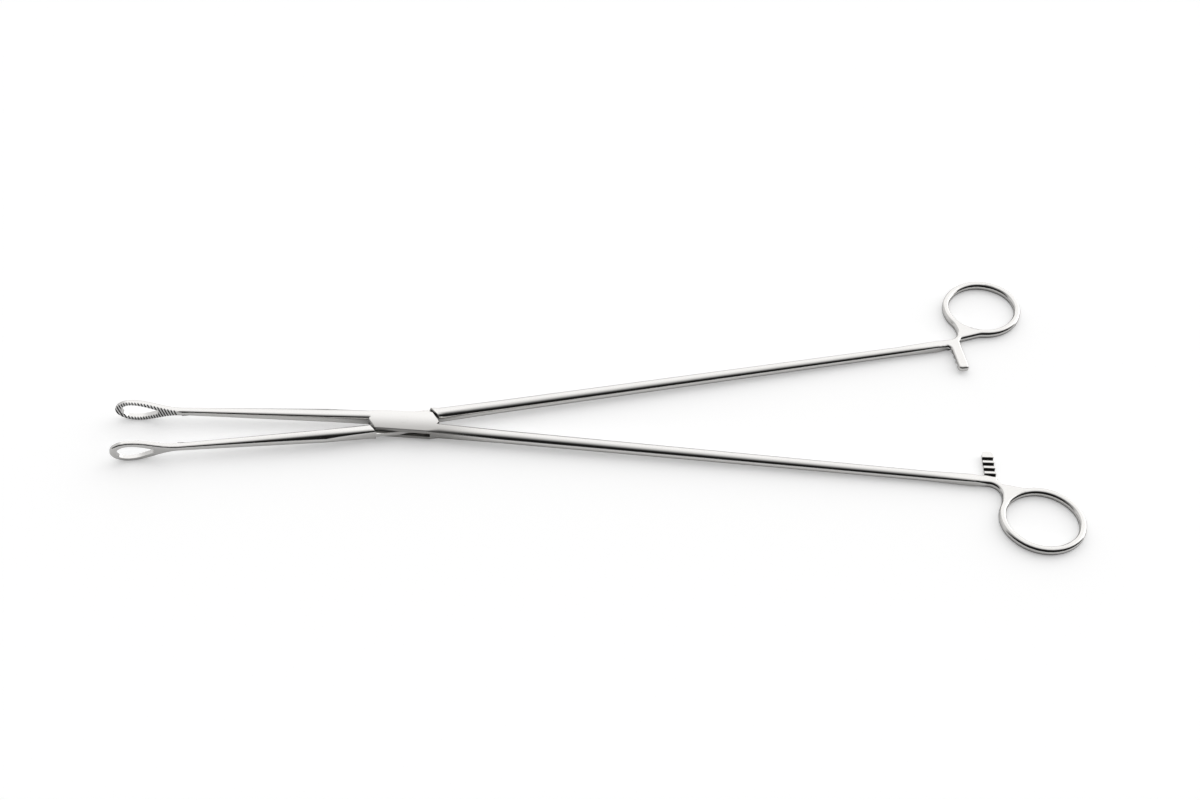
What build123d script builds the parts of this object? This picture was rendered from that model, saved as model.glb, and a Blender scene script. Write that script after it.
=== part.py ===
"""Long straight sponge holding forceps with a box lock, ring handles and a ratchet.

Two forged stainless halves cross in the lock. The female half is slotted and the male
half passes through the slot as a thin tongue; a pin, ground flush, holds them together.
Each half is drawn in the closed position, its jaw on the +Y side of the meeting plane
and its ring on the -Y side. The male half is then mirrored, and both turn about the pin
to the opening in which the forceps lies. The origin is on the pin's axis at the lock's
flat underside, with +X towards the rings and +Z up. Lengths are in millimetres and
angles in degrees.
"""
import os
from math import atan, degrees, radians, tan

from build123d import *

# Opening between the halves as the forceps lies, counted from the closed position
REST_OPENING = 9.8

# Points nearer than this are the same point
TOUCH = 0.001

# Corner radius of a square that comes out as good as round, as a share of its side
NEARLY_HALF = 0.49

# Box lock
LOCK_LENGTH = 25.4
LOCK_WIDTH = 8.4
LOCK_THICKNESS = 5.0
LOCK_EDGE_ROUND = 0.45
SHOULDER_ANGLE = 58.0
TONGUE_THICKNESS = 1.6
PIN_DIAMETER = 3.0

# Clearances
TONGUE_CLEARANCE = 0.1
SHOULDER_CLEARANCE = 0.3
PIN_CLEARANCE = 0.05
FLANK_CLEARANCE = 0.3
JAW_CLEARANCE = 0.1

# Front arm, from the lock to the jaw
JAW_REACH = 103.4
ARM_ROOT_WIDTH = 3.9
ARM_ROOT_ROUND = 1.5
ARM_SWELL_DISTANCE = 28.0
ARM_SWELL_DIAMETER = 4.15
ARM_NECK_DIAMETER = 2.4
ARM_SWELL_ROUND = 1.4

# Jaw, an open loop that stands upright and faces the other jaw
JAW_LENGTH = 24.0
JAW_WIDTH = 9.6
JAW_TIP_THICKNESS = 1.8
JAW_WIDEST_FROM_TIP = 6.6
JAW_BACK_ROUND = 0.8
JAW_FACE_CHAMFER = 0.35
JAW_RUN_OUT = 4.0
JAW_RUN_OUT_END = 0.3
WINDOW_TIP_WALL = 2.3
WINDOW_SIDE_WALL = 1.6
WINDOW_LENGTH = 12.9
WINDOW_HEEL_HALF = 0.9
WINDOW_HEEL_ROUND = 0.6
WINDOW_HEEL_SLOPE = 0.35
SERRATION_PITCH = 1.05
SERRATION_WIDTH = 0.7
SERRATION_DEPTH = 0.5
SERRATION_SLANT = 14.0
SERRATION_OVERCUT = 0.05

# Shank, from the lock to the ring
RATCHET_DISTANCE = 211.6
SHANK_SPLAY = 3.57
SHANK_ROOT_WIDTH = 4.6
SHANK_ROOT_ROUND = 1.8
SHANK_ROUND_DISTANCE = 36.0
SHANK_DIAMETER = 4.7
SHANK_END_DIAMETER = 3.7
SHANK_FLATTENING = 16.0
SHANK_SWELL_AT_NECK = 1.02
SHANK_TAPER_IN_NECK = 0.9

# Finger ring
RING_INNER_LENGTH = 26.0
RING_INNER_WIDTH = 23.0
RING_END_RADIUS = 10.3
RING_STOCK = 2.45
RING_HEIGHT = 3.4
RING_TILT = -7.0
RING_AHEAD = 15.9
RING_ASIDE = 16.5
RING_EDGE_ROUND = 1.1
NECK_START = 7.0
NECK_BEND = 0.9
NECK_AHEAD = 3.3
NECK_STEP = 3.0
NECK_ROUND = 4.5
RING_JOIN_ROUND = 6.0

# Ratchet
RATCHET_WIDTH = 4.2
RATCHET_ROOT_DEPTH = 1.5
RATCHET_TIP_SETBACK = 1.6
RATCHET_MESH = 0.8
RATCHET_ROOT_ROUND = 2.0
RATCHET_TIP_ROUND = 1.4
TOOTH_COUNT = 4
TOOTH_PITCH = 2.47
TOOTH_LAND = 0.9
TOOTH_DEPTH = 0.9
TOOTH_FLOOR_SLOPE = 8.0
FIRST_TOOTH_LAND = 2.5


def across(x, y, width, height, corner):
    """Rounded rectangle that stands across the length of the half at (x, y)."""
    plane = Plane(origin=(x, y, 0), x_dir=(0, 1, 0), z_dir=(1, 0, 0))
    return plane * RectangleRounded(width, height, corner)


def nearly_round(diameter):
    """Corner radius that makes a square of this size as good as round."""
    return NEARLY_HALF * diameter


def lean(y):
    """Distance along X that a shoulder gains while it rises by y."""
    return y / tan(radians(SHOULDER_ANGLE))


def lock_plan(inset=0.0):
    """Six-sided outline of the lock, its two pairs of shoulders pulled in by inset."""
    point = LOCK_LENGTH / 2 - inset
    side = LOCK_WIDTH / 2
    corner = point - lean(side)
    shank_side = FLANK_CLEARANCE + SHANK_ROOT_WIDTH
    points = [
        (-point, 0),
        (-corner, -side),
        (point - lean(shank_side), -shank_side),
        (point, 0),
        (corner, side),
        (-corner, side),
    ]
    return make_face(Polyline(*points, close=True))


def passage_plan(outset=0.0):
    """Band across the lock that the other half passes through, its ends moved out."""
    point = LOCK_LENGTH / 2 + outset
    side = LOCK_WIDTH
    points = [
        (-point - lean(side), -side),
        (point - lean(side), -side),
        (point + lean(side), side),
        (-point + lean(side), side),
    ]
    return make_face(Polyline(*points, close=True))


def lock_block(inset=0.0):
    """Solid lock of full thickness with the edges of its flats rounded."""
    block = extrude(lock_plan(inset), amount=LOCK_THICKNESS / 2, both=True)
    flats = block.faces().sort_by(Axis.Z)
    edges = flats[0].edges() + flats[-1].edges()
    return fillet(edges, LOCK_EDGE_ROUND)


def front_arm():
    """Tapering arm whose inner flank keeps clear of the meeting plane."""
    inside = -(LOCK_LENGTH / 2 - LOCK_WIDTH / 2)
    shoulder = -(LOCK_LENGTH / 2)
    neck = JAW_LENGTH - JAW_REACH

    def station(x, flank, width, height, corner):
        return across(x, flank + width / 2, width, height, corner)

    swell = ARM_SWELL_DIAMETER
    stations = [
        station(inside, FLANK_CLEARANCE, ARM_ROOT_WIDTH, LOCK_THICKNESS, LOCK_EDGE_ROUND),
        station(shoulder, FLANK_CLEARANCE, ARM_ROOT_WIDTH, LOCK_THICKNESS, ARM_ROOT_ROUND),
        station(-ARM_SWELL_DISTANCE, FLANK_CLEARANCE, swell, swell, ARM_SWELL_ROUND),
        station(neck, JAW_CLEARANCE, ARM_NECK_DIAMETER, ARM_NECK_DIAMETER, JAW_BACK_ROUND),
    ]
    return loft(Sketch() + stations, ruled=True)


def jaw_outline():
    """Outer outline of the jaw loop in the XZ plane, round at the tip."""
    tip = -JAW_REACH
    widest = tip + JAW_WIDEST_FROM_TIP
    heel = tip + JAW_LENGTH
    high = JAW_WIDTH / 2
    low = ARM_NECK_DIAMETER / 2
    nose = EllipticalCenterArc((widest, 0), JAW_WIDEST_FROM_TIP, high, start_angle=90, arc_size=180)
    upper = Spline((widest, high), (heel, low), tangents=[(1, 0), (1, 0)])
    lower = Spline((widest, -high), (heel, -low), tangents=[(1, 0), (1, 0)])
    return Plane.XZ * make_face([nose, upper, lower, Line((heel, low), (heel, -low))])


def window_outline():
    """Opening of the jaw loop, round towards the tip and narrow at the heel."""
    front = WINDOW_TIP_WALL - JAW_REACH
    widest = JAW_WIDEST_FROM_TIP - JAW_REACH
    heel = front + WINDOW_LENGTH
    high = JAW_WIDTH / 2 - WINDOW_SIDE_WALL
    nose = EllipticalCenterArc((widest, 0), widest - front, high, start_angle=90, arc_size=180)
    upper = Spline((widest, high), (heel, WINDOW_HEEL_HALF), tangents=[(1, 0), (1, -WINDOW_HEEL_SLOPE)])
    lower = Spline((widest, -high), (heel, -WINDOW_HEEL_HALF), tangents=[(1, 0), (1, WINDOW_HEEL_SLOPE)])
    closing = Line((heel, WINDOW_HEEL_HALF), (heel, -WINDOW_HEEL_HALF))
    window = make_face([nose, upper, lower, closing])
    window = fillet(window.vertices().group_by(Axis.X)[-1], WINDOW_HEEL_ROUND)
    return Plane.XZ * window


def serrations():
    """Row of slanted V grooves across the face with which the jaw grips."""
    outside = -SERRATION_OVERCUT
    mouth = SERRATION_WIDTH / 2 * (SERRATION_DEPTH + SERRATION_OVERCUT) / SERRATION_DEPTH
    groove = make_face(Polyline((-mouth, outside), (mouth, outside), (0, SERRATION_DEPTH), close=True))
    cutter = extrude(groove, amount=JAW_WIDTH, both=True)
    count = int((JAW_LENGTH - SERRATION_PITCH) / SERRATION_PITCH)
    first = SERRATION_PITCH / 2 - JAW_REACH
    cutters = [
        Pos(first + index * SERRATION_PITCH, JAW_CLEARANCE, 0) * Rot(0, -SERRATION_SLANT, 0) * cutter
        for index in range(count)
    ]
    return cutters


def jaw_taper():
    """Cutter that thins the jaw from its heel towards its tip, seen from above."""
    heel = JAW_LENGTH - JAW_REACH
    beyond = heel - 2 * JAW_LENGTH
    thinned = 2 * JAW_TIP_THICKNESS - ARM_NECK_DIAMETER
    thick = ARM_NECK_DIAMETER
    plan = make_face(Polyline((heel, thick), (beyond, thick), (beyond, thinned), close=True))
    return extrude(plan, amount=JAW_WIDTH, both=True)


def jaw_run_out():
    """Flat of the gripping face where it narrows out on the arm."""
    heel = JAW_LENGTH - JAW_REACH
    start = heel - JAW_RUN_OUT_END
    end = heel + JAW_RUN_OUT
    wide = ARM_NECK_DIAMETER / 2
    narrow = JAW_RUN_OUT_END
    points = [(start, -wide), (heel, -wide), (end, -narrow), (end, narrow), (heel, wide), (start, wide)]
    flat = Plane.XZ * make_face(Polyline(*points, close=True))
    return extrude(flat, amount=-ARM_NECK_DIAMETER / 2)


def jaw():
    """Fenestrated jaw: rounded back, open window and serrated gripping face."""
    plate = extrude(jaw_outline(), amount=-ARM_NECK_DIAMETER) - jaw_taper()
    back = plate.faces().sort_by(Axis.Y)[-1]
    rim = back.edges().filter_by(Axis.Z, reverse=True)
    plate = fillet(rim, JAW_BACK_ROUND)
    plate -= extrude(window_outline(), amount=-ARM_NECK_DIAMETER)
    face = plate.faces().sort_by(Axis.Y)[0]
    plate = chamfer(face.edges().filter_by(Axis.Z, reverse=True), JAW_FACE_CHAMFER)
    plate = Pos(0, JAW_CLEARANCE, 0) * plate
    return plate - serrations() + Pos(0, JAW_CLEARANCE, 0) * jaw_run_out()


def shank_middle(x):
    """Y of the shank's centre line at a distance x from the pin."""
    start = -(FLANK_CLEARANCE + SHANK_ROOT_WIDTH / 2)
    return start - (x - LOCK_LENGTH / 2) * tan(radians(SHANK_SPLAY))


def shank():
    """Long straight shank, square at the lock, round further on and tapering inside the neck."""
    inside = LOCK_LENGTH / 2 - LOCK_WIDTH / 2
    shoulder = LOCK_LENGTH / 2
    neck = RATCHET_DISTANCE - NECK_START
    stations = [
        across(inside, shank_middle(shoulder), SHANK_ROOT_WIDTH, LOCK_THICKNESS, LOCK_EDGE_ROUND),
        across(shoulder, shank_middle(shoulder), SHANK_ROOT_WIDTH, LOCK_THICKNESS, SHANK_ROOT_ROUND),
    ]
    for x, diameter, corner in (
        (SHANK_ROUND_DISTANCE, SHANK_DIAMETER, nearly_round(SHANK_DIAMETER)),
        (neck - SHANK_FLATTENING, SHANK_END_DIAMETER, nearly_round(SHANK_END_DIAMETER)),
        (neck, SHANK_SWELL_AT_NECK * SHANK_END_DIAMETER, RING_EDGE_ROUND),
        (neck + NECK_START / 2, SHANK_TAPER_IN_NECK * SHANK_END_DIAMETER, RING_EDGE_ROUND),
    ):
        stations.append(across(x, shank_middle(x), diameter, diameter, corner))
    return loft(Sketch() + stations, ruled=True)


def ring_plan(grow=0.0):
    """Oval of the finger ring in four arcs, grown by the given amount all round."""
    length = RING_INNER_LENGTH / 2
    width = RING_INNER_WIDTH / 2
    end_centre = length - RING_END_RADIUS
    side_radius = (end_centre**2 + width**2 - RING_END_RADIUS**2) / (2 * (width - RING_END_RADIUS))
    outwards = Vector(end_centre, side_radius - width).normalized()
    join = Vector(end_centre, 0) + outwards * (RING_END_RADIUS + grow)
    x, y = join.X, join.Y
    oval = [
        ThreePointArc((-x, y), (0, width + grow), (x, y)),
        ThreePointArc((x, y), (length + grow, 0), (x, -y)),
        ThreePointArc((x, -y), (0, -width - grow), (-x, -y)),
        ThreePointArc((-x, -y), (-length - grow, 0), (-x, y)),
    ]
    centre = Pos(RATCHET_DISTANCE + RING_AHEAD, shank_middle(RATCHET_DISTANCE) - RING_ASIDE)
    return centre * Rot(0, 0, RING_TILT) * make_face(oval)


def neck_plan():
    """Web in which the shank widens and runs into the ring."""
    end = RATCHET_DISTANCE
    middle = shank_middle(end)
    flank = SHANK_END_DIAMETER / 2
    start = end - NECK_START
    centre_x = end + RING_AHEAD
    centre_y = middle - RING_ASIDE
    stock_middle = RING_STOCK / 2
    points = [
        (start, shank_middle(start) + flank),
        (end - RATCHET_WIDTH / 4, middle + flank - NECK_BEND),
        (end + RATCHET_WIDTH / 4, middle + flank - NECK_STEP),
        (centre_x, centre_y + RING_INNER_WIDTH / 2 + stock_middle),
        (centre_x, centre_y),
        (centre_x - RING_INNER_LENGTH / 2 - stock_middle, centre_y),
        (end + NECK_AHEAD, middle - flank),
        (start, shank_middle(start) - flank),
    ]
    return make_face(Polyline(*points, close=True))


def merged(first, second, join_round):
    """Two outlines in one, with the corners rounded where they cross."""
    plan = first + second
    before = first.vertices() + second.vertices()

    def is_join(vertex):
        return min((Vector(vertex) - Vector(corner)).length for corner in before) > TOUCH

    joins = [vertex for vertex in plan.vertices() if is_join(vertex)]
    return fillet(joins, join_round)


def ratchet_plan():
    """Ratchet arm seen from above, from inside the neck to its rounded tip."""
    root = shank_middle(RATCHET_DISTANCE) - RATCHET_ROOT_DEPTH
    length = -RATCHET_TIP_SETBACK - root
    arm = Pos(RATCHET_DISTANCE, root + length / 2) * Rectangle(RATCHET_WIDTH, length)
    return fillet(arm.vertices().group_by(Axis.Y)[-1], RATCHET_TIP_ROUND)


def handle_plan():
    """Neck, ring and ratchet arm together, before the finger hole is cut."""
    plan = merged(neck_plan(), ring_plan(RING_STOCK), RING_JOIN_ROUND)
    inner_corner = (RATCHET_DISTANCE + NECK_AHEAD, shank_middle(RATCHET_DISTANCE) - SHANK_END_DIAMETER / 2)
    corner = plan.vertices().sort_by_distance(inner_corner)[0]
    return merged(fillet(corner, NECK_ROUND), ratchet_plan(), RATCHET_ROOT_ROUND)


def ratchet_relief():
    """Cutter that leaves the ratchet arm in the lower part of the ring's height."""
    turn = SHANK_SPLAY + degrees(atan(NECK_BEND / NECK_START))
    flank = Pos(RATCHET_DISTANCE, shank_middle(RATCHET_DISTANCE) - NECK_BEND) * Rot(0, 0, -turn)
    length = RING_ASIDE
    middle = Pos(0, (SHANK_END_DIAMETER + length) / 2, (RATCHET_MESH + RING_HEIGHT) / 2)
    return flank * middle * Box(4 * RATCHET_WIDTH, length, RING_HEIGHT)


def tooth_gaps():
    """Gaps between the teeth, deepest at the upright face towards the arm's own shank."""
    gap = TOOTH_PITCH - TOOTH_LAND
    shallow = TOOTH_DEPTH - gap * tan(radians(TOOTH_FLOOR_SLOPE))
    corners = [(0, 0), (gap, 0), (gap, -TOOTH_DEPTH), (0, -shallow)]
    outline = Plane.YZ * make_face(Polyline(*corners, close=True))
    cutter = extrude(outline, amount=RATCHET_WIDTH, both=True)
    tops = RATCHET_MESH / 2
    first = -RATCHET_TIP_SETBACK - FIRST_TOOTH_LAND - gap
    return [
        Pos(RATCHET_DISTANCE, first - index * TOOTH_PITCH, tops) * cutter
        for index in range(TOOTH_COUNT)
    ]


def handle():
    """Finger ring, neck and ratchet arm, rounded above and below; the teeth point up."""
    body = extrude(handle_plan() - ring_plan(), amount=RING_HEIGHT / 2, both=True)
    flats = body.faces().filter_by(Axis.Z).sort_by(Axis.Z)
    edges = flats[0].edges() + flats[-1].edges()
    shank_end = RATCHET_DISTANCE - NECK_START
    free = [edge for edge in edges if edge.center().X > shank_end + TOUCH]
    return fillet(free, RING_EDGE_ROUND) - ratchet_relief() - tooth_gaps()


def half_blank(lock, handle_end):
    """One forged half in the closed position, before the lock is opened up."""
    return front_arm() + jaw() + lock + shank() + handle_end


def pin_hole(clearance=0.0):
    """Cutter for the hole of the lock's pin."""
    return Cylinder(PIN_DIAMETER / 2 + clearance, 2 * LOCK_THICKNESS)


def female_half():
    """Half whose lock is slotted through from side to side."""
    slot_height = TONGUE_THICKNESS + 2 * TONGUE_CLEARANCE
    slot = extrude(passage_plan(), amount=slot_height / 2, both=True)
    half = half_blank(lock_block(), handle())
    return half - slot - pin_hole()


def male_half():
    """Half that narrows to a tongue, mirrored across the meeting plane."""
    above = Pos(0, 0, TONGUE_THICKNESS / 2) * extrude(passage_plan(SHOULDER_CLEARANCE), amount=LOCK_THICKNESS)
    below = mirror(above, about=Plane.XY)
    teeth_down = mirror(handle(), about=Plane.XY)
    half = half_blank(lock_block(SHOULDER_CLEARANCE), teeth_down)
    half = half - above - below - pin_hole(PIN_CLEARANCE)
    return mirror(half, about=Plane.XZ)


def lock_pin():
    """Plain pin, pressed into the female half and ground flush with its faces."""
    return Cylinder(PIN_DIAMETER / 2, LOCK_THICKNESS)


def at_rest(piece, turn):
    """Turn a piece about the pin and stand the lock's underside on z = 0."""
    return Pos(0, 0, LOCK_THICKNESS / 2) * Rot(0, 0, turn) * piece


PIECES = {
    "female_half": at_rest(female_half(), -REST_OPENING / 2),
    "male_half": at_rest(male_half(), REST_OPENING / 2),
    "lock_pin": at_rest(lock_pin(), 0),
}

os.makedirs("parts", exist_ok=True)
for name, piece in PIECES.items():
    export_step(piece, f"parts/{name}.step")
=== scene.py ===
"""Sponge holding forceps, lying half open on a white table under a wide overhead softbox.

Everything is in metres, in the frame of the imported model: the origin is on the lock's pin,
+X points towards the finger rings and +Z out of the lock's flat top.
"""

import math

import bmesh
import bpy
from mathutils import Matrix, Vector


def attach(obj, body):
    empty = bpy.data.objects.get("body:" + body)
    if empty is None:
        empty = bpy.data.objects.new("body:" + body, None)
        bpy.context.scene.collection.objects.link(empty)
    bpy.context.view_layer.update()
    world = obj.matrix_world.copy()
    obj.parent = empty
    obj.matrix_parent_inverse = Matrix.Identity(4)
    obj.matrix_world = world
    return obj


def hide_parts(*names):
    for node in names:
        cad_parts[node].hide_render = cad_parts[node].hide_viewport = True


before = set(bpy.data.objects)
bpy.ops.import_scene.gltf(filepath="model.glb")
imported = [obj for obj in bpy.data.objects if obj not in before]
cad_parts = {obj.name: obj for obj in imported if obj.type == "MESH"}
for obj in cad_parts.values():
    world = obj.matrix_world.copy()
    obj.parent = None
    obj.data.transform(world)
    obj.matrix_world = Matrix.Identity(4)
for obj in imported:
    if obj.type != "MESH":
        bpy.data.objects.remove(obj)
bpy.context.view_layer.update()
scene = bpy.context.scene


# Female half: one forging in satin polished stainless steel, with the slotted side of the
# box lock in its middle. It is ground along its length and then polished, so a very fine
# grain runs from the jaw to the ring, with faint wiping marks over it.
HALF_TURN = math.radians(4.9)
MERGE_DISTANCE = 2e-6
SMOOTH_ANGLE = math.radians(28)

# Stations along an arm and along a shank: place, centre line, half width and half height of
# the flats between its rounded corners, and how far the outer and inner sides are ground flat.
ARM_SECTIONS = (
    (-0.0812, -0.00130, 0.0004, 0.0004, 0.0, 0.0),
    (-0.0280, -0.00237, 0.0007, 0.0007, 1.0, 0.0),
    (-0.0127, -0.00225, 0.0005, 0.0010, 1.0, 0.8),
)
SHANK_SECTIONS = (
    (0.0127, 0.00260, 0.0005, 0.0007, 0.2, 0.9),
    (0.0360, 0.00405, 0.0, 0.0, 0.35, 0.25),
    (0.1860, 0.01341, 0.0, 0.0, 0.35, 0.25),
)
SECTION_FADE = 0.0018
END_FACE_TURN = 0.3

# Rise of the steel's face in degrees, against the rise at which it is seen from the centre
# line of an arm or shank, and against the share of a ring's half height.
GROUND_SLOPES = ((0.0, 0.0), (14.0, 24.0), (58.0, 49.0), (90.0, 90.0))
RING_SLOPES = ((0.0, 0.0), (0.4, 27.0), (0.85, 47.0), (1.0, 90.0))

RING_PART = (0.206, 0.209)
RING_SIDES = (0.1, 0.4)
MID_HEIGHT = 0.0025
RING_HALF_HEIGHT = 0.0017
RATCHET_REACH = 0.0112
RATCHET_END = 0.2155

JAW_ROOT = (-0.0775, -0.070)
JAW_FACE_END = -0.0806
JAW_BEVEL_DEPTH = 0.00047
JAW_BEVEL_LEAN = (0.5, 0.9)
JAW_BEVEL_RISE = 0.25
JAW_BEVEL_ROLL = 0.45

# Finish: fine grain, cloudy polish, wiping marks, and the speckle of the matt lock.
GRAIN_STRETCH = (0.12, 1.0, 1.0)
GRAIN_SCALE, GRAIN_DETAIL = 9000.0, 3.0
POLISH_SCALE, POLISH_DETAIL = 160.0, 4.0
SMEAR_SCALE, SMEAR_DETAIL = 38.0, 5.0
SPECKLE_SCALE, SPECKLE_DETAIL = 3200.0, 2.0
SPECKLE_SHARE = 0.25
GRAIN_STRENGTH = 0.25
GRAIN_DEPTH = 0.00001
EDGE_ROLL = 0.00012

STEEL_CLEAN = (0.71, 0.70, 0.685, 1.0)
STEEL_SMEARED = (0.67, 0.66, 0.645, 1.0)
# Burnished gripping lands, painted brighter as a highlight.
STEEL_BURNISHED_HIGHLIGHT = (0.86, 0.855, 0.845, 1.0)
# Painted shade on the matt lock's top: dark on its near side, light on its far side.
LOCK_NEAR_PAINTED_SHADE = (0.42, 0.412, 0.40, 1.0)
LOCK_FAR_PAINTED_LIGHT = (0.80, 0.79, 0.775, 1.0)
LOCK_SPECKLE = (0.30, 0.295, 0.285, 1.0)
# Painted shade for grooves, slot, tooth gaps and the gap between the halves.
CREVICE_PAINTED_SHADE = (0.02, 0.02, 0.02, 1.0)

POLISHED_ROUGHNESS = 0.05
GRAIN_ROUGHNESS = 0.03
POLISH_ROUGHNESS = 0.03
SMEAR_ROUGHNESS = 0.04
MATT_ROUGHNESS = 0.2
SPECKLE_ROUGHNESS = 0.12
CREVICE_ROUGHNESS = 0.3

# Where the matt lock ends on both sides, and the span over which its top is painted with shade,
# dark near and light far.
LOCK_END = (0.0118, 0.0138)
SHANK_ROOT_END = 0.034
LOCK_PAINTED_SHADE_SIDES = (-0.0045, 0.0027)

# Where the gripping lands are burnished and painted brighter as a highlight: along the jaw, and in
# from the gripping plane.
BURNISH_HIGHLIGHT_END = (-0.0826, -0.0818)
BURNISH_HIGHLIGHT_DEPTH = (0.0004, 0.00055)

# How far a crevice reaches, and between which shares of open sky its painted shade fades and the
# steel turns bright.
CREVICE_REACH = 0.0014
CREVICE_OPEN = (0.55, 0.9)
LOCK_GAP_REACH = 0.001
LOCK_GAP_OPEN = (0.35, 0.85)


class Wire:
    """A shader value. Sums and products of wires add the Math nodes that work them out."""

    def __init__(self, shader, socket):
        self.shader = shader
        self.socket = socket

    def maths(self, operation, first, second):
        return self.shader.node("ShaderNodeMath", {"operation": operation}, {0: first, 1: second})

    def __add__(self, other):
        return self.maths("ADD", self, other)

    def __sub__(self, other):
        return self.maths("SUBTRACT", self, other)

    def __mul__(self, other):
        return self.maths("MULTIPLY", self, other)

    def __truediv__(self, other):
        return self.maths("DIVIDE", self, other)

    def __rsub__(self, other):
        return self.maths("SUBTRACT", other, self)

    def __abs__(self):
        return self.maths("ABSOLUTE", self, 0.0)

    __radd__ = __add__
    __rmul__ = __mul__


class Shader:
    """The node tree of a material or of the world, filled node by node."""

    def __init__(self, tree):
        self.tree = tree
        tree.nodes.clear()

    def node(self, kind, settings, sockets, output=0):
        made = self.tree.nodes.new(kind)
        for name, value in settings.items():
            if name == "stops":
                self.set_stops(made.color_ramp, value)
            else:
                setattr(made, name, value)
        for name, value in sockets.items():
            if isinstance(value, Wire):
                self.tree.links.new(value.socket, made.inputs[name])
            else:
                made.inputs[name].default_value = value
        return Wire(self, made.outputs[output]) if made.outputs else None

    def axis(self, vector, letter):
        return self.node("ShaderNodeSeparateXYZ", {}, {0: vector}, letter)

    def noise(self, place, scale, detail):
        sockets = {"Vector": place, "Scale": scale, "Detail": detail}
        return self.node("ShaderNodeTexNoise", {}, sockets)

    def open_sky(self, reach, only_local):
        settings = {"samples": 8, "only_local": only_local}
        return self.node("ShaderNodeAmbientOcclusion", settings, {"Distance": reach}, "AO")

    def mix(self, factor, first, second):
        sockets = {"Factor": factor, "A": first, "B": second}
        return self.node("ShaderNodeMix", {"data_type": "RGBA"}, sockets, "Result")

    def smooth_step(self, value, start, end):
        sockets = {"Value": value, "From Min": start, "From Max": end}
        return self.node("ShaderNodeMapRange", {"interpolation_type": "SMOOTHSTEP"}, sockets)

    @staticmethod
    def set_stops(ramp, stops):
        while len(ramp.elements) < len(stops):
            ramp.elements.new(1.0)
        for element, (position, level) in zip(ramp.elements, stops):
            element.position = position
            element.color = (level, level, level, 1.0)

    def finish(self, kind, surface):
        self.node(kind, {}, {"Surface": surface})


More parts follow.
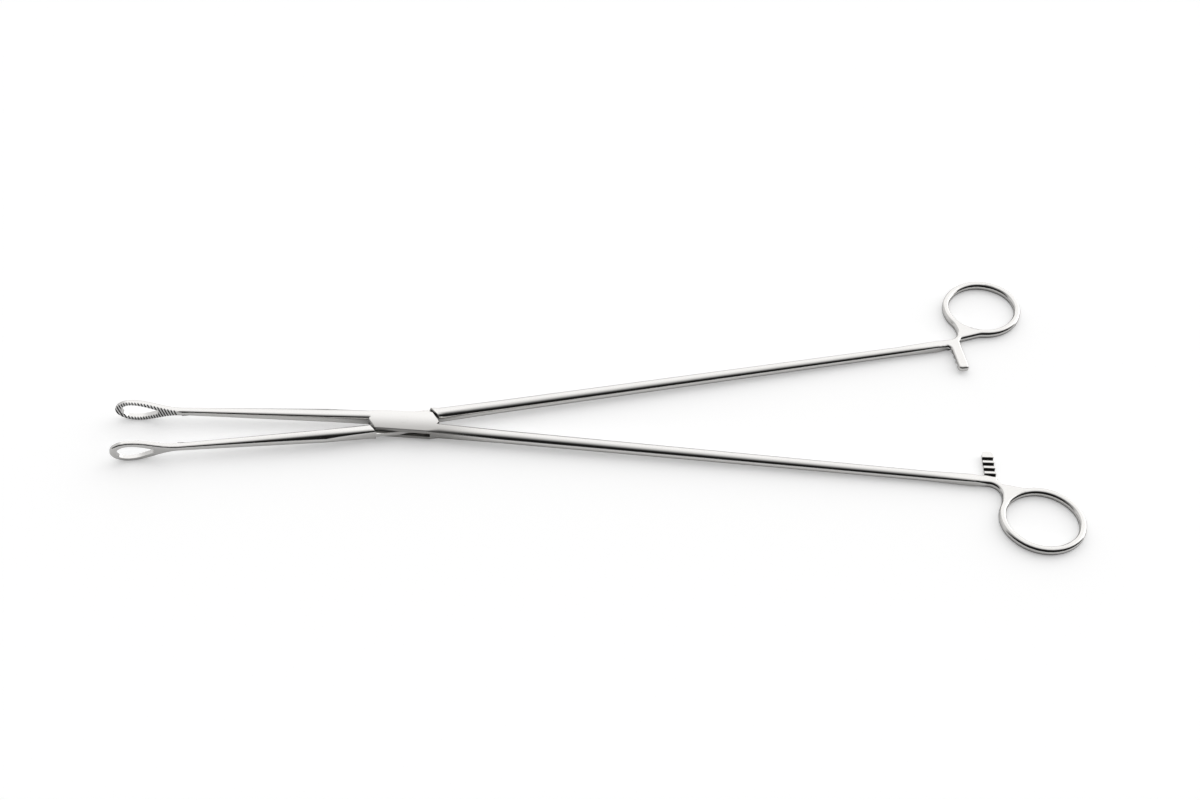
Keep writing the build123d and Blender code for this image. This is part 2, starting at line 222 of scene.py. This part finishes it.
def steel(name, grain_turn, lock_ground):
    """Satin polished stainless steel whose grain runs along a piece turned by grain_turn.

    The grooves, the slot and the tooth gaps, and the gap between the halves at the lock, are
    painted nearly black as shade by an occlusion mask, and are rougher there as unpolished steel.
    Where lock_ground is 1 the lock is finished with a coarser matt grain than the rest, and its
    top is painted with shade, darker towards its near side. The gripping lands are burnished
    and painted brighter as a highlight.
    """
    material = bpy.data.materials.new(name)
    material.use_nodes = True
    shader = Shader(material.node_tree)
    place = shader.node("ShaderNodeTexCoord", {}, {}, "Object")
    along = shader.node(
        "ShaderNodeMapping", {}, {"Vector": place, "Rotation": (0, 0, -grain_turn)}
    )
    stretched = shader.node(
        "ShaderNodeVectorMath", {"operation": "MULTIPLY"}, {0: along, 1: GRAIN_STRETCH}
    )
    grain = shader.noise(stretched, GRAIN_SCALE, GRAIN_DETAIL)
    polish = shader.noise(place, POLISH_SCALE, POLISH_DETAIL)
    smear = shader.noise(place, SMEAR_SCALE, SMEAR_DETAIL)
    speckle = shader.noise(place, SPECKLE_SCALE, SPECKLE_DETAIL)

    lengthwise = shader.axis(along, "X")
    across = shader.axis(along, "Y")
    jaw_side = shader.smooth_step(lengthwise, -LOCK_END[1], -LOCK_END[0])
    ring_side = shader.smooth_step(lengthwise, SHANK_ROOT_END, LOCK_END[0])
    matt = jaw_side * ring_side * lock_ground
    by_lock = shader.smooth_step(abs(lengthwise), LOCK_END[1], LOCK_END[0])
    # Painted shade: the lock's colour darkens towards its near side.
    lock_painted_shade_ramp = shader.smooth_step(across, *LOCK_PAINTED_SHADE_SIDES)
    # Burnished lands, painted brighter as a highlight of their glint.
    on_lands = shader.smooth_step(abs(across), BURNISH_HIGHLIGHT_DEPTH[1], BURNISH_HIGHLIGHT_DEPTH[0])
    burnish_highlight = on_lands * shader.smooth_step(lengthwise, BURNISH_HIGHLIGHT_END[1], BURNISH_HIGHLIGHT_END[0])

    # Painted shade: occlusion masks colour the grooves, the slot, the tooth gaps and the gap
    # between the halves at the lock nearly black; polished is 1 on open steel and falls there,
    # where the steel is also rougher.
    out_of_crevice = shader.smooth_step(shader.open_sky(CREVICE_REACH, True), *CREVICE_OPEN)
    out_of_gap = shader.smooth_step(shader.open_sky(LOCK_GAP_REACH, False), *LOCK_GAP_OPEN)
    polished = out_of_crevice * (1.0 - by_lock * (1.0 - out_of_gap))

    roughness = (
        POLISHED_ROUGHNESS
        + GRAIN_ROUGHNESS * grain
        + POLISH_ROUGHNESS * polish
        + SMEAR_ROUGHNESS * smear
        + matt * (MATT_ROUGHNESS + SPECKLE_ROUGHNESS * speckle)
        + CREVICE_ROUGHNESS * (1.0 - polished)
    )
    tint = shader.mix(smear, STEEL_CLEAN, STEEL_SMEARED)
    highlighted_tint = shader.mix(burnish_highlight, tint, STEEL_BURNISHED_HIGHLIGHT)
    lock_painted_shade_tint = shader.mix(lock_painted_shade_ramp, LOCK_NEAR_PAINTED_SHADE, LOCK_FAR_PAINTED_LIGHT)
    matt_speckle_and_painted_shade = shader.mix(SPECKLE_SHARE * speckle, lock_painted_shade_tint, LOCK_SPECKLE)
    colour = shader.mix(polished, CREVICE_PAINTED_SHADE, shader.mix(matt, highlighted_tint, matt_speckle_and_painted_shade))

    rolled = shader.node("ShaderNodeBevel", {"samples": 4}, {"Radius": EDGE_ROLL})
    scratched = shader.node(
        "ShaderNodeBump",
        {},
        {"Strength": GRAIN_STRENGTH, "Distance": GRAIN_DEPTH, "Height": grain, "Normal": rolled},
    )
    surface = shader.node(
        "ShaderNodeBsdfPrincipled",
        {},
        {"Base Color": colour, "Metallic": 1.0, "Roughness": roughness, "Normal": scratched},
    )
    shader.finish("ShaderNodeOutputMaterial", surface)
    return material


def ramp(value, start, end):
    """Share of the way from start to end, kept between 0 and 1."""
    return min(max((value - start) / (end - start), 0.0), 1.0)


def between(steps, place):
    """Values of a table of steps at a place along it, on the straight line between two steps."""
    for low, high in zip(steps, steps[1:]):
        if place <= high[0]:
            share = ramp(place, low[0], high[0])
            return [first + (second - first) * share for first, second in zip(low[1:], high[1:])]
    return list(steps[-1][1:])


def section_normal(place, normal, side):
    """Normal on an arm or a shank, worked out from its rounded section so that no facet shows.

    The upper faces are ground a little flatter than round, as the stations say.
    """
    for sections in (ARM_SECTIONS, SHANK_SECTIONS):
        start, end = sections[0][0], sections[-1][0]
        weight = ramp(place.x, start, start + SECTION_FADE) * ramp(place.x, end, end - SECTION_FADE)
        on_end_face = abs(normal.x) > END_FACE_TURN and place.x > JAW_ROOT[0]
        if weight == 0.0 or on_end_face:
            continue
        middle, flat_width, flat_height, outer_flat, inner_flat = between(sections, place.x)
        slope = (sections[-1][1] - sections[0][1]) / (end - start)
        across = place.y - side * middle
        above = place.z - MID_HEIGHT
        round_width = max(abs(across) - flat_width, 1e-6)
        round_height = max(abs(above) - flat_height, 0.0)
        rise = math.degrees(math.atan2(round_height, round_width))
        if above > 0.0:
            ground_flat = outer_flat if across * side * middle > 0.0 else inner_flat
            seen_rise = math.degrees(math.atan2(above, abs(across)))
            rise += ground_flat * (between(GROUND_SLOPES, seen_rise)[0] - rise)
        sideways = math.copysign(math.cos(math.radians(rise)), across)
        upwards = math.copysign(math.sin(math.radians(rise)), above)
        rounded = Vector((-side * slope * sideways, sideways, upwards))
        return normal.lerp(rounded.normalized(), weight).normalized()
    return normal


def ring_normal(place, normal):
    """Normal on a ring handle, whose sides are crowned from top to bottom."""
    on_ratchet = abs(place.y) < RATCHET_REACH and place.x < RATCHET_END
    level = Vector((normal.x, normal.y, 0.0))
    weight = ramp(place.x, *RING_PART) * ramp(level.length, *RING_SIDES)
    if weight == 0.0 or on_ratchet:
        return normal
    height = (place.z - MID_HEIGHT) / RING_HALF_HEIGHT
    rise = math.copysign(math.radians(between(RING_SLOPES, abs(height))[0]), height)
    crowned = level.normalized() * math.cos(rise) + Vector((0.0, 0.0, math.sin(rise)))
    return normal.lerp(crowned, weight).normalized()


def jaw_normal(place, normal):
    """Normal on the narrow bevel round a jaw's gripping face, which is rolled over its edge."""
    in_bevel = place.x < JAW_FACE_END and abs(place.y) < JAW_BEVEL_DEPTH
    leaning = JAW_BEVEL_LEAN[0] < abs(normal.y) < JAW_BEVEL_LEAN[1]
    if not in_bevel or not leaning or normal.z < JAW_BEVEL_RISE:
        return normal
    return Vector((normal.x, JAW_BEVEL_ROLL * normal.y, normal.z)).normalized()


def smooth_copy(node_name, piece_name, material, turn):
    """Copy of a CAD node with its facets joined and its rounded surfaces shaded smooth."""
    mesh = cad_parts[node_name].data.copy()
    straighten = Matrix.Rotation(-turn, 3, "Z")
    shape = bmesh.new()
    shape.from_mesh(mesh)
    bmesh.ops.remove_doubles(shape, verts=shape.verts, dist=MERGE_DISTANCE)
    for face in shape.faces:
        face.smooth = True
        face.material_index = 0
    for edge in shape.edges:
        on_jaw_root = all(JAW_ROOT[0] < (straighten @ end.co).x < JAW_ROOT[1] for end in edge.verts)
        edge.smooth = on_jaw_root or edge.calc_face_angle(0.0) < SMOOTH_ANGLE
    shape.to_mesh(mesh)
    shape.free()
    mesh.materials.clear()
    mesh.materials.append(material)

    piece = bpy.data.objects.new(piece_name, mesh)
    scene.collection.objects.link(piece)
    weighted = piece.modifiers.new("weighted normals", "WEIGHTED_NORMAL")
    weighted.keep_sharp = True
    bpy.context.view_layer.update()
    evaluated = piece.evaluated_get(bpy.context.evaluated_depsgraph_get())
    shaded = bpy.data.meshes.new_from_object(evaluated)
    piece.modifiers.clear()
    piece.data = shaded

    side = math.copysign(1.0, turn)
    turn_back = straighten.transposed()
    normals = []
    for loop, corner in zip(shaded.loops, shaded.corner_normals):
        place = straighten @ shaded.vertices[loop.vertex_index].co
        normal = section_normal(place, straighten @ corner.vector, side)
        normal = jaw_normal(place, ring_normal(place, normal))
        normals.append(turn_back @ normal)
    shaded.normals_split_custom_set(normals)
    return piece


female = smooth_copy(
    "female_half", "forged_female_half", steel("steel_female", -HALF_TURN, 1.0), -HALF_TURN
)
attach(female, "female_arm")
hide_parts("female_half")


# Male half: the second forging, of the same steel. It narrows to a tongue that passes
# through the slot of the female half, and its grain runs along its own length.
male = smooth_copy("male_half", "forged_male_half", steel("steel_male", HALF_TURN, 0.0), HALF_TURN)
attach(male, "male_arm")
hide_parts("male_half")


# Lock pin: a plain steel pin pressed through the cheeks of the lock and ground flush with
# their flats, so only a hairline is left of it.
pin = smooth_copy("lock_pin", "ground_lock_pin", steel("steel_pin", -HALF_TURN, 1.0), 0.0)
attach(pin, "female_arm")
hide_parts("lock_pin")


# Table: a white sheet. The jaws' lower edges and the rings touch it, so it leans by half a
# degree against the lock's flats. The camera sees it white, and it keeps the shadow.
JAW_CONTACT = Vector((-0.097, 0.0, -0.0023))
RING_CONTACT = Vector((0.237, 0.0, 0.0008))
TABLE_HALF_SIZE = 3.0
SHEET_WHITE = (0.82, 0.82, 0.82, 1.0)
SHEET_SEEN = (0.8, 0.8, 0.8, 1.0)
SHEET_GLOW = 0.32

lean = math.atan2(RING_CONTACT.z - JAW_CONTACT.z, RING_CONTACT.x - JAW_CONTACT.x)
table_level = JAW_CONTACT.z - JAW_CONTACT.x * math.tan(lean)
table_mesh = bpy.data.meshes.new("table")
table_shape = bmesh.new()
bmesh.ops.create_grid(table_shape, x_segments=1, y_segments=1, size=TABLE_HALF_SIZE)
bmesh.ops.rotate(
    table_shape, verts=table_shape.verts, cent=(0, 0, 0), matrix=Matrix.Rotation(-lean, 3, "Y")
)
bmesh.ops.translate(table_shape, verts=table_shape.verts, vec=(0, 0, table_level))
table_shape.to_mesh(table_mesh)
table_shape.free()

sheet = bpy.data.materials.new("white_table")
sheet.use_nodes = True
sheet_shader = Shader(sheet.node_tree)
seen = sheet_shader.node("ShaderNodeLightPath", {}, {}, "Is Camera Ray")
plain_sheet = sheet_shader.node("ShaderNodeBsdfDiffuse", {}, {"Color": SHEET_WHITE})
shadowed = sheet_shader.node("ShaderNodeBsdfDiffuse", {}, {"Color": SHEET_SEEN})
glow = sheet_shader.node(
    "ShaderNodeEmission", {}, {"Color": (1.0, 1.0, 1.0, 1.0), "Strength": SHEET_GLOW}
)
seen_sheet = sheet_shader.node("ShaderNodeAddShader", {}, {0: shadowed, 1: glow})
sheet_shader.finish(
    "ShaderNodeOutputMaterial",
    sheet_shader.node("ShaderNodeMixShader", {}, {0: seen, 1: plain_sheet, 2: seen_sheet}),
)
table_mesh.materials.append(sheet)
table = bpy.data.objects.new("table", table_mesh)
scene.collection.objects.link(table)


# Light: a wide softbox overhead that reaches down to the far horizon, brighter beyond the
# rings than beyond the jaws. The near side of the room is dim, with a dark stretch where the
# camera stands, which draws the thin black lines along the round steel.
SOFTBOX_LEVEL = 1.35
RING_END_GAIN = 0.5
JAW_END_LOSS = 0.4
END_START = 0.4
END_FULL = 0.7

# Level of the room against the share of the half circle from the near horizon, over the
# forceps, to the far horizon.
ROOM = [
    (0.0, 0.17),
    (0.03, 0.06),
    (0.055, 0.01),
    (0.22, 0.01),
    (0.26, 0.08),
    (0.345, 0.33),
    (0.455, 0.67),
    (0.58, 0.89),
    (0.7, 1.0),
    (1.0, 0.97),
]

world = bpy.data.worlds.new("studio")
scene.world = world
world.use_nodes = True
sky = Shader(world.node_tree)
direction = sky.node("ShaderNodeTexCoord", {}, {}, "Generated")
lengthways = sky.axis(direction, "X")
forward = sky.axis(direction, "Y")
upward = sky.axis(direction, "Z")
overhead_turn = forward.maths("ARCTAN2", upward, 0.0 - forward)
level = sky.node("ShaderNodeValToRGB", {"stops": ROOM}, {"Fac": overhead_turn / math.pi})
ring_end = sky.smooth_step(lengthways, END_START, END_FULL)
jaw_end = sky.smooth_step(lengthways, -END_START, -END_FULL)
strength = SOFTBOX_LEVEL * (1.0 + RING_END_GAIN * ring_end - JAW_END_LOSS * jaw_end)
lit = sky.node("ShaderNodeBackground", {}, {"Color": level, "Strength": strength})
plain = sky.node("ShaderNodeBackground", {}, {"Color": (1.0, 1.0, 1.0, 1.0), "Strength": 1.0})
seen_directly = sky.node("ShaderNodeLightPath", {}, {}, "Is Camera Ray")
sky.finish(
    "ShaderNodeOutputWorld",
    sky.node("ShaderNodeMixShader", {}, {0: seen_directly, 1: lit, 2: plain}),
)


# Camera: half above the table, looking at the forceps from its near side, with the rings on
# the right.
CAMERA_TARGET = Vector((0.07157, 0.00913, 0.0025))
CAMERA_AZIMUTH = math.radians(-7.67)
CAMERA_ELEVATION = math.radians(50.0)
CAMERA_ROLL = math.radians(4.63)
CAMERA_DISTANCE = 0.62813
CAMERA_LENS = 51.298
CAMERA_REACH = 20.0

away = Vector(
    (
        math.sin(CAMERA_AZIMUTH) * math.cos(CAMERA_ELEVATION),
        -math.cos(CAMERA_AZIMUTH) * math.cos(CAMERA_ELEVATION),
        math.sin(CAMERA_ELEVATION),
    )
)
camera = bpy.data.objects.new("camera", bpy.data.cameras.new("camera"))
camera.data.lens = CAMERA_LENS
camera.data.clip_end = CAMERA_REACH
stand = Matrix.Translation(CAMERA_TARGET + CAMERA_DISTANCE * away)
roll = Matrix.Rotation(CAMERA_ROLL, 4, away)
camera.matrix_world = stand @ roll @ away.to_track_quat("Z", "Y").to_matrix().to_4x4()
scene.collection.objects.link(camera)
scene.camera = camera
scene.view_settings.view_transform = "Standard"
